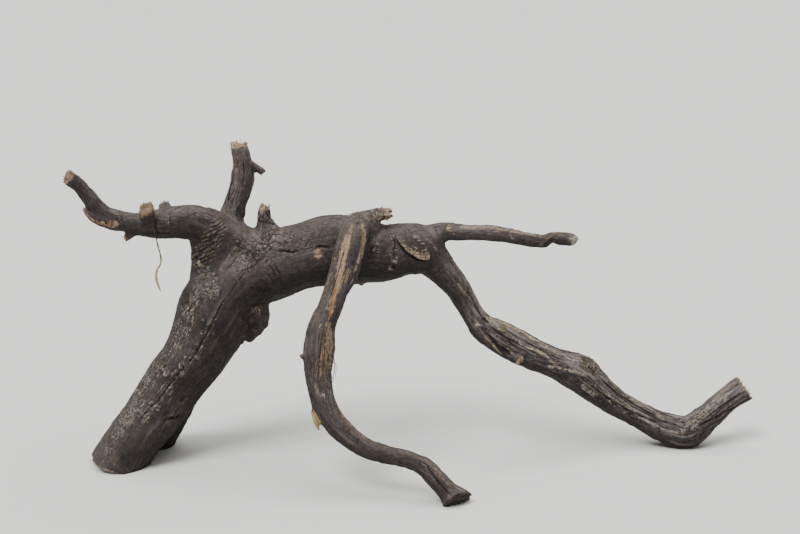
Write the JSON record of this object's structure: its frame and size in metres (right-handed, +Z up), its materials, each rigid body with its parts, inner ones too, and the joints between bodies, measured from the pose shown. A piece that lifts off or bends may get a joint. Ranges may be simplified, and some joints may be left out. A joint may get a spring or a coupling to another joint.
{
  "type": "dry tree root",
  "caption": "Weathered dry tree root with a leaning sawn trunk foot, arching body, long bent roots and broken branch stubs, standing on three points.",
  "frame": {"origin": "middle of the foot of the bounding box, on the surface the root stands on", "axes": "+X to the end of the long right root, +Y away from the side the picture shows, +Z up"},
  "size_m": [0.8582, 0.2264, 0.4021],
  "materials": {
    "bark": "dry, rough grey-brown bark with bare tan wood where it is worn or broken"
  },
  "bodies": {
    "root": {"dry_root": "bark"}
  },
  "joints": []
}
